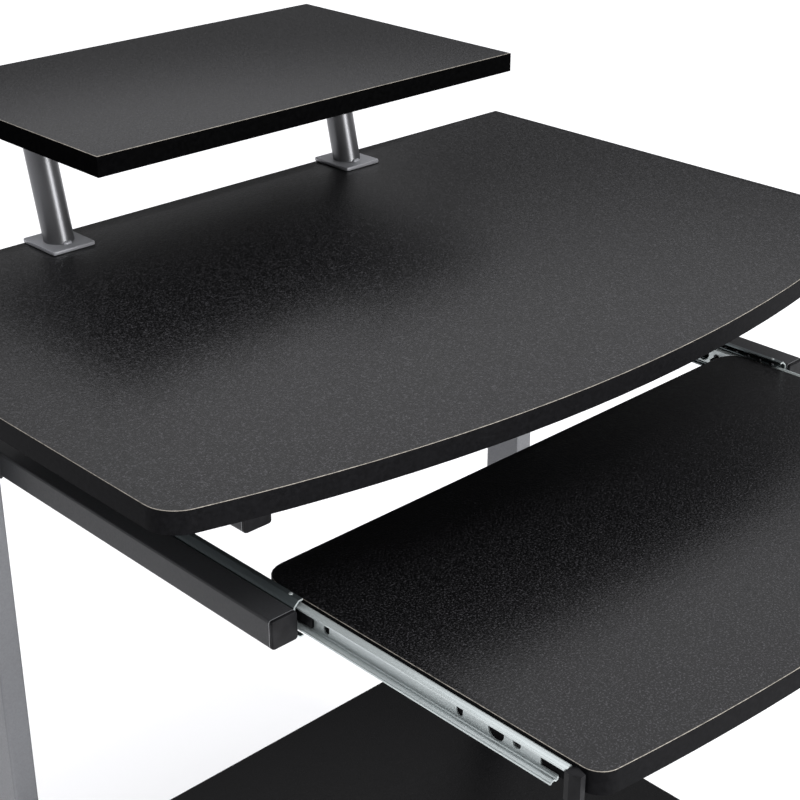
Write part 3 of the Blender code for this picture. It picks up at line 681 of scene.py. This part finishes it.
class DESK_OT_posts(bpy.types.Operator):
    """Make the leaning posts, the rounded plates at their ends and the tack welds between them"""

    bl_idname = "desk.posts"
    bl_label = "Monitor Posts"
    bl_options = {"REGISTER", "UNDO"}

    def execute(self, context):
        fittings = context.scene.desk_fittings
        silver = coat_named(context, "silver_coat")
        for side, _ in SIDES:
            node = f"monitor_post_{side}"
            low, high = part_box(node)
            reach = high.z - low.z + 4 * (high.x - low.x)
            bpy.ops.object.select_all(action="DESELECT")
            bpy.ops.mesh.primitive_cylinder_add(vertices=96, radius=(high.x - low.x) / 2, depth=reach,
                                                location=(low + high) / 2,
                                                rotation=(-fittings.post_lean, 0, 0))
            post = added(f"{node}_tube")
            settle(post)
            edit(post)
            bpy.ops.mesh.bisect(plane_co=(0, 0, low.z), plane_no=UP, use_fill=True, clear_inner=True)
            bpy.ops.mesh.select_all(action="SELECT")
            bpy.ops.mesh.bisect(plane_co=(0, 0, high.z), plane_no=UP, use_fill=True, clear_outer=True)
            leave_edit()
            smooth(post)
            finish_piece(post, "frame", silver, (node,))
            for level, height in (("base", low.z), ("top", high.z)):
                node = f"post_{level}_plate_{side}"
                plate = cad_copy(node, f"{node}_rounded")
                edit(plate)
                pick(plate, "EDGE", is_rim)
                bpy.ops.mesh.bevel(offset=fittings.plate_round, segments=3, affect="EDGES", profile=0.5)
                leave_edit()
                smooth(plate)
                finish_piece(plate, "frame", coat_named(context, "silver_plate"), (node,))
                self.tack(context, f"{level}_{side}", middle(node), (high.x - low.x) / 2, height)
        return {"FINISHED"}

    def tack(self, context, name, centre, radius, height):
        """Two short welds between a post's end and its plate, at the front and the rear."""
        fittings = context.scene.desk_fittings
        away = radius / math.cos(fittings.post_lean)
        for end, start in (("front", -HALF_PI), ("rear", HALF_PI)):
            turns = [start + share * fittings.tack_radius / radius for share in (-1.0, -0.4, 0.3, 1.0)]
            places = [(centre.x + radius * math.cos(turn), centre.y + away * math.sin(turn), height)
                      for turn in turns]
            weld = bead(f"post_weld_{name}_{end}", places, fittings.tack_radius)
            finish_piece(weld, "frame", coat_named(context, "silver_plate"))


class DESK_OT_welds(bpy.types.Operator):
    """Make the weld beads between the legs and the tubes that meet them"""

    bl_idname = "desk.welds"
    bl_label = "Frame Welds"
    bl_options = {"REGISTER", "UNDO"}

    def execute(self, context):
        for side, sign in SIDES:
            legs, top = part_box(f"leg_{side}"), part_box(f"top_tube_{side}")
            self.side_seams(context, f"keyboard_rail_{side}", legs, sign, ("top", "bottom", "front"))
            self.side_seams(context, f"lower_rail_{side}", legs, sign, ("bottom", "front", "rear"))
            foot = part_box(f"foot_tube_{side}")
            front, rear = legs[0].y, legs[1].y
            across = (legs[0].x, legs[1].x)
            seams = [((across[0], y, foot[1].z), (across[1], y, foot[1].z)) for y in (front, rear)]
            self.seam_bead(context, f"foot_weld_{side}", seams, "grey_powder_coat", "grey_steel")
            inner, outer = (max(legs[0].x, top[0].x), min(legs[1].x, top[1].x))
            edge = outer if sign > 0 else inner
            seams = [((inner, y, legs[1].z), (outer, y, legs[1].z)) for y in (front, rear)]
            seams.append(((edge, front, legs[1].z), (edge, rear, legs[1].z)))
            self.seam_bead(context, f"top_tube_weld_{side}", seams, "charcoal_powder_coat", "dark_steel")
        return {"FINISHED"}

    def side_seams(self, context, rail, legs, sign, edges):
        """A bead on some edges of the square where a rail's side meets its leg."""
        low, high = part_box(rail)
        x = high.x if sign > 0 else low.x
        front, rear = max(low.y, legs[0].y), min(high.y, legs[1].y)
        ends = {
            "top": ((x, front, high.z), (x, rear, high.z)),
            "bottom": ((x, front, low.z), (x, rear, low.z)),
            "front": ((x, front, low.z), (x, front, high.z)),
            "rear": ((x, rear, low.z), (x, rear, high.z)),
        }
        seams = [ends[edge] for edge in edges]
        self.seam_bead(context, f"{rail}_weld", seams, "charcoal_powder_coat", "dark_steel")

    def seam_bead(self, context, name, seams, coat, slot):
        fittings = context.scene.desk_fittings
        places = [place for start, end in seams for place in line(start, end, fittings.bead_pitch)]
        weld = bead(name, places, fittings.bead_radius)
        finish_piece(weld, "frame", coat_named(context, coat))


class DESK_OT_tube_ends(bpy.types.Operator):
    """Make the sawn ends of the tubes, which show as a thin bright line behind each cap"""

    bl_idname = "desk.tube_ends"
    bl_label = "Tube Ends"
    bl_options = {"REGISTER", "UNDO"}

    def execute(self, context):
        wall, rounding = context.scene.desk_fittings.tube_wall, context.scene.desk_fittings.tube_rounding
        back = END_RING / 2 - END_PROUD
        for tube in TUBES:
            for side, _ in SIDES:
                low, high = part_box(f"{tube}_{side}")
                size, centre = high - low, (high + low) / 2
                outside = (size.x + 2 * END_PROUD, END_RING, size.z + 2 * END_PROUD)
                inside = (size.x - 2 * wall, 2 * END_RING, size.z - 2 * wall)
                for end, y in zip(ENDS, (low.y + back, high.y - back)):
                    ring = slab(f"{tube}_end_{side}_{end}", outside, (centre.x, y, centre.z))
                    edit(ring)
                    pick(ring, "EDGE", along_y)
                    bpy.ops.mesh.bevel(offset=rounding, segments=4, affect="EDGES", profile=0.5)
                    leave_edit()
                    cut(ring, slab("bore", inside, (centre.x, y, centre.z)))
                    smooth(ring)
                    finish_piece(ring, "frame", coat_named(context, "sawn_tube_end"))
        return {"FINISHED"}


def along_y(edge):
    run = edge.verts[1].co - edge.verts[0].co
    return abs(run.y) > 0.99 * run.length


class DESK_OT_frame_screws(bpy.types.Operator):
    """Make the bolts and screws of the frame, with cross recesses and threads"""

    bl_idname = "desk.frame_screws"
    bl_label = "Frame Screws"
    bl_options = {"REGISTER", "UNDO"}

    def execute(self, context):
        steel = coat_named(context, "plated_screw")
        pitch = context.scene.desk_fittings.thread_pitch
        for stem in BOLTS:
            nodes = sorted(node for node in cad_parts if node.startswith(stem))
            axis = 0 if "stretcher" in stem else 2
            low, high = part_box(nodes[0])
            wide = (high - low)[1] / 2
            height = HEAD_SHARE * wide
            length = (high - low)[axis] - height
            master = cross_screw("screw", wide, height, wide / HEAD_RATIO, length, pitch)
            for node in nodes:
                low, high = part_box(node)
                place = (low + high) / 2
                outward = axis == 0 and node.endswith("right")
                place[axis] = high[axis] - height if outward else low[axis] + height
                direction = Vector((0, 0, 0))
                direction[axis] = -1 if outward else 1
                screw = placed_copy(master, f"{node}_threaded", pointing(direction, place))
                finish_piece(screw, "frame", steel, (node,))
            bpy.data.objects.remove(master)
        return {"FINISHED"}


class DESK_OT_shelf_screws(bpy.types.Operator):
    """Make the screws in the monitor shelf's plates and through the rails under the lower shelf"""

    bl_idname = "desk.shelf_screws"
    bl_label = "Shelf Screws"
    bl_options = {"REGISTER", "UNDO"}

    def execute(self, context):
        fittings = context.scene.desk_fittings
        head = fittings.shelf_screw_head
        master = cross_screw("screw", head, head * 0.55, head / 2, head * 3, fittings.thread_pitch)
        places = {}
        for side, _ in SIDES:
            low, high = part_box(f"post_top_plate_{side}")
            inset = (high.x - low.x) * SHELF_SCREW_INSET
            across, along = (low.x + inset, high.x - inset), (low.y + inset, high.y - inset)
            corners = [(x, y) for x in across for y in along]
            for number, (x, y) in enumerate(corners, 1):
                places[f"shelf_screw_{side}_{number}"] = (x, y, low.z)
            low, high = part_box(f"lower_rail_{side}")
            for end, share in zip(ENDS, SHELF_SCREW_SHARES):
                y = low.y + (high.y - low.y) * share
                places[f"lower_shelf_screw_{side}_{end}"] = ((low.x + high.x) / 2, y, low.z)
        for name, place in places.items():
            screw = placed_copy(master, name, Matrix.Translation(place))
            finish_piece(screw, "frame", coat_named(context, "plated_screw"))
        bpy.data.objects.remove(master)
        return {"FINISHED"}


class DESK_OT_glides(bpy.types.Operator):
    """Make the round plastic feet, each with a sunk top and a ribbed stem"""

    bl_idname = "desk.glides"
    bl_label = "Glides"
    bl_options = {"REGISTER", "UNDO"}

    def execute(self, context):
        nodes = sorted(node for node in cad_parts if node.startswith("glide_"))
        low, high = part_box(nodes[0])
        radius, height = (high.x - low.x) / 2, high.z - low.z
        disc, stem = height * 0.4, radius * 0.31
        rounding = disc * 0.2
        lower = [(radius - rounding * (1 - math.sin(turn)), rounding * (1 - math.cos(turn)))
                 for turn in (0.0, 0.4, 0.8, 1.2, HALF_PI)]
        upper = [(size, disc - level) for size, level in reversed(lower)]
        floor = disc * 0.86
        rim = [(radius * 0.62, disc), (radius * 0.58, floor), (stem * 1.5, floor), (stem * 1.3, disc)]
        barbs = thread(stem, disc, height - disc, stem * 0.8)
        master = turned("glide", lower + upper + rim + barbs, 64)
        smooth(master)
        for node in nodes:
            centre = middle(node)
            glide = placed_copy(master, f"{node}_pad", Matrix.Translation((centre.x, centre.y, 0)))
            finish_piece(glide, "frame", coat_named(context, "black_moulding"), (node,))
        bpy.data.objects.remove(master)
        return {"FINISHED"}


# ---------------------------------------------------------------- slides

TRAY_SCREW_PROUD = 0.0002         # how far the tray screws' seats stand off the web
CATCH_BEHIND_WEB = 0.0025         # inner slide's web to the middle of its catch
CATCH_ROUNDING = 0.0005
CATCH_GROOVE = (0.0006, 0.0012, 0.02)
DIMPLE_SHARE = 0.25               # dimple's place across the flange, from its middle
FRONT_HIGHLIGHT_STRIP = 0.0003             # length of the lighter strip at the outer slide's front end, a painted highlight
FRONT_HIGHLIGHT_PROUD = 0.0002            # how far that strip stands out of the end


class DESK_OT_slide_details(bpy.types.Operator):
    """Make the slides' balls, catches, tray screws, dimples and front edges; the balls carry painted shade,
    the dimples and front edges painted highlights
    """

    bl_idname = "desk.slide_details"
    bl_label = "Slide Details"
    bl_options = {"REGISTER", "UNDO"}

    def execute(self, context):
        fittings = context.scene.desk_fittings
        for side, sign in SIDES:
            self.ball_rows(context, fittings, side, sign)
            self.tray_screws(context, fittings, side, sign)
            self.catch(context, fittings, side, sign)
            self.dimple(context, fittings, side, sign)
            self.front_edge(context, side)
        return {"FINISHED"}

    def ball_rows(self, context, fittings, side, sign):
        low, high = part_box(f"ball_cage_{side}")
        radius = fittings.ball
        bpy.ops.object.select_all(action="DESELECT")
        bpy.ops.mesh.primitive_uv_sphere_add(segments=24, ring_count=16, radius=radius)
        ball = added("ball")
        x = (low.x if sign > 0 else high.x) + sign * radius
        first = (low.y + high.y - (fittings.balls - 1) * fittings.ball_pitch) / 2
        balls = []
        for z in (low.z + radius, high.z - radius):
            for number in range(fittings.balls):
                place = Matrix.Translation((x, first + number * fittings.ball_pitch, z))
                balls.append(placed_copy(ball, "ball", place))
        bpy.data.objects.remove(ball)
        row = joined(f"slide_balls_{side}", balls)
        smooth(row, 60)
        # the balls get the dark steel as painted shade in the slide's channel
        finish_piece(row, f"cage_{side}", coat_named(context, "black_oxide_and_painted_shade"))

    def tray_screws(self, context, fittings, side, sign):
        """Black screws through the inner slide into the tray's edge, their heads sunk in its holes."""
        low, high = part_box(f"inner_slide_{side}")
        head = fittings.tray_screw_head
        height = head * 0.35
        master = cross_screw("screw", head, height, head * 0.55, head * 3, fittings.thread_pitch)
        web = (low.x if sign > 0 else high.x) - sign * TRAY_SCREW_PROUD
        for end, along in zip(ENDS, (fittings.tray_screw_front, fittings.tray_screw_rear)):
            place = (web, low.y + along, (low.z + high.z) / 2)
            screw = placed_copy(master, f"tray_screw_{side}_{end}", pointing((-sign, 0, 0), place))
            finish_piece(screw, "tray", coat_named(context, "black_oxide_and_painted_shade"))
        bpy.data.objects.remove(master)

    def catch(self, context, fittings, side, sign):
        """The black plastic catch behind the window in the inner slide, with a groove across its face."""
        low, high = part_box(f"inner_slide_{side}")
        web = low.x if sign > 0 else high.x
        depth = fittings.catch_depth
        x, y, z = web + sign * CATCH_BEHIND_WEB, low.y + fittings.window_at, (low.z + high.z) / 2
        catch = slab(f"slide_catch_{side}", (depth, fittings.catch_length, fittings.catch_height), (x, y, z))
        edit(catch)
        bpy.ops.mesh.bevel(offset=CATCH_ROUNDING, segments=3, affect="EDGES", profile=0.5)
        leave_edit()
        cut(catch, slab("groove", CATCH_GROOVE, (x - sign * depth / 2, y, z)))
        smooth(catch)
        finish_piece(catch, "tray", coat_named(context, "black_moulding"))

    def dimple(self, context, fittings, side, sign):
        """A pressed dimple on the outer slide's top flange, just behind its front end. It is in the lighter
        zinc, so it shows as a painted highlight on the painted shade of the outer slide.
        """
        low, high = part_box(f"outer_slide_{side}")
        radius, rise = fittings.dimple_radius, fittings.dimple_rise
        profile = [(radius * math.cos(turn), rise * math.sin(turn)) for turn in (0.0, 0.4, 0.8, 1.15, 1.4)]
        dimple = turned(f"slide_dimple_{side}", [(radius, -rise)] + profile, 24)
        flange = (low.x + high.x) / 2 - sign * (high.x - low.x) * DIMPLE_SHARE
        dimple.data.transform(Matrix.Translation((flange, low.y + fittings.dimple_back, high.z)))
        smooth(dimple)
        # the lighter zinc makes the dimple a painted highlight
        finish_piece(dimple, "frame", coat_named(context, "zinc_plate"))

    def front_edge(self, context, side):
        """A thin strip at the outer slide's front end in the lighter zinc: a painted highlight along its
        front outline.
        """
        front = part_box(f"outer_slide_{side}")[0].y
        edge = cad_copy(f"outer_slide_{side}", f"slide_front_edge_{side}")
        edit(edge)
        bpy.ops.mesh.bisect(plane_co=(0, front + FRONT_HIGHLIGHT_STRIP, 0), plane_no=(0, 1, 0), use_fill=True,
                            clear_outer=True)
        bpy.ops.mesh.select_all(action="SELECT")
        bpy.ops.transform.translate(value=(0, -FRONT_HIGHLIGHT_PROUD, 0))
        leave_edit()
        smooth(edge)
        # the lighter zinc paints a highlight along the front outline
        finish_piece(edge, "frame", coat_named(context, "zinc_plate"))


# ---------------------------------------------------------------- stage


SKY_BANDS = ((0.0, 0.02), (0.25, 0.05), (0.38, 0.22), (0.48, 0.52), (0.60, 1.0))    # (height, brightness)
SKY_TINT = (0.99, 0.99, 1.015)
FLOOR_DROP = 0.0002               # the floor lies this far under the feet
FRONT_LIGHT, FRONT_AIM, FRONT_SIZE = (0.40, -2.6, 0.95), (0.0, 0.0, 0.75), (0.9, 1.5)
TOP_LIGHT, TOP_AIM, TOP_SIZE = (-0.3, -1.0, 2.3), (-0.1, -0.4, 0.65), (0.9, 0.6)


def surroundings(stage):
    """A white dome that is dim near the horizon and bright overhead, like a studio with a top light."""
    world = bpy.data.worlds.new("studio")
    world.use_nodes = True
    tree = world.node_tree
    dome = tree.nodes["Background"]
    direction = tree.nodes.new("ShaderNodeTexCoord")
    height = tree.nodes.new("ShaderNodeSeparateXYZ")
    ramp = tree.nodes.new("ShaderNodeValToRGB")
    tree.links.new(direction.outputs["Generated"], height.inputs["Vector"])
    tree.links.new(height.outputs["Z"], ramp.inputs["Fac"])
    tree.links.new(ramp.outputs["Color"], dome.inputs["Color"])
    dome.inputs["Strength"].default_value = stage.sky
    stops = ramp.color_ramp.elements
    for place, share in SKY_BANDS[1:-1]:
        stops.new(place)
    for stop, (place, share) in zip(stops, SKY_BANDS):
        stop.position = place
        stop.color = (*(share * tint for tint in SKY_TINT), 1.0)
    return world


class DESK_OT_stage(bpy.types.Operator):
    """Make the pale floor, the soft lights and the camera"""

    bl_idname = "desk.stage"
    bl_label = "Stage"
    bl_options = {"REGISTER", "UNDO"}

    def execute(self, context):
        stage = context.scene.desk_stage
        bpy.ops.object.select_all(action="DESELECT")
        bpy.ops.mesh.primitive_plane_add(size=stage.floor_size, location=(0, 0, -FLOOR_DROP))
        floor = added("studio_floor")
        coat = Coat("studio_floor", stage.floor, 0.9, specular=0.0)
        coat.drive("Base Color", coat.mixed(coat.noise(3.0), scaled(stage.floor, 0.995), stage.floor))
        floor.data.materials.append(coat.material)
        settle(floor)
        for name, place, aim, size, power in (
            ("front_softbox", FRONT_LIGHT, FRONT_AIM, FRONT_SIZE, stage.front),
            ("top_softbox", TOP_LIGHT, TOP_AIM, TOP_SIZE, stage.top),
        ):
            bpy.ops.object.light_add(type="AREA", location=place)
            light = bpy.context.object
            light.name = name
            light.data.shape = "RECTANGLE"
            light.data.size, light.data.size_y = size
            light.data.energy = power
            light.rotation_euler = (Vector(aim) - Vector(place)).to_track_quat("-Z", "Y").to_euler()
        context.scene.world = surroundings(stage)
        context.scene.view_settings.view_transform = "Standard"
        bpy.ops.object.camera_add(location=stage.eye, rotation=stage.turn)
        camera = bpy.context.object
        camera.data.lens = stage.lens
        camera.data.clip_end = 200
        context.scene.camera = camera
        return {"FINISHED"}


# ---------------------------------------------------------------- panel and running

OPERATORS = (DESK_OT_boards, DESK_OT_edge_bands, DESK_OT_frame_coats, DESK_OT_posts, DESK_OT_welds,
             DESK_OT_tube_ends, DESK_OT_frame_screws, DESK_OT_shelf_screws, DESK_OT_glides,
             DESK_OT_slide_details, DESK_OT_stage)
SETTINGS = (("desk_finishes", DeskFinishes), ("desk_fittings", DeskFittings), ("desk_stage", DeskStage))


class DESK_PT_looks(bpy.types.Panel):
    """Buttons and settings for the desk"""

    bl_idname = "DESK_PT_looks"
    bl_label = "Computer Desk"
    bl_space_type = "VIEW_3D"
    bl_region_type = "UI"
    bl_category = "Desk"

    def draw(self, context):
        for operator in OPERATORS:
            self.layout.operator(operator.bl_idname)
        for name, group in SETTINGS:
            box = self.layout.box()
            for setting in group.__annotations__:
                box.prop(getattr(context.scene, name), setting)


def register():
    for _, group in SETTINGS:
        bpy.utils.register_class(group)
    for name, group in SETTINGS:
        setattr(bpy.types.Scene, name, PointerProperty(type=group))
    for cls in (*OPERATORS, DESK_PT_looks):
        bpy.utils.register_class(cls)


def unregister():
    for cls in (DESK_PT_looks, *reversed(OPERATORS)):
        bpy.utils.unregister_class(cls)
    for name, group in reversed(SETTINGS):
        delattr(bpy.types.Scene, name)
        bpy.utils.unregister_class(group)


def main():
    register()
    for operator in OPERATORS:
        area, call = operator.bl_idname.split(".")
        getattr(getattr(bpy.ops, area), call)()


if __name__ == "__main__":
    main()
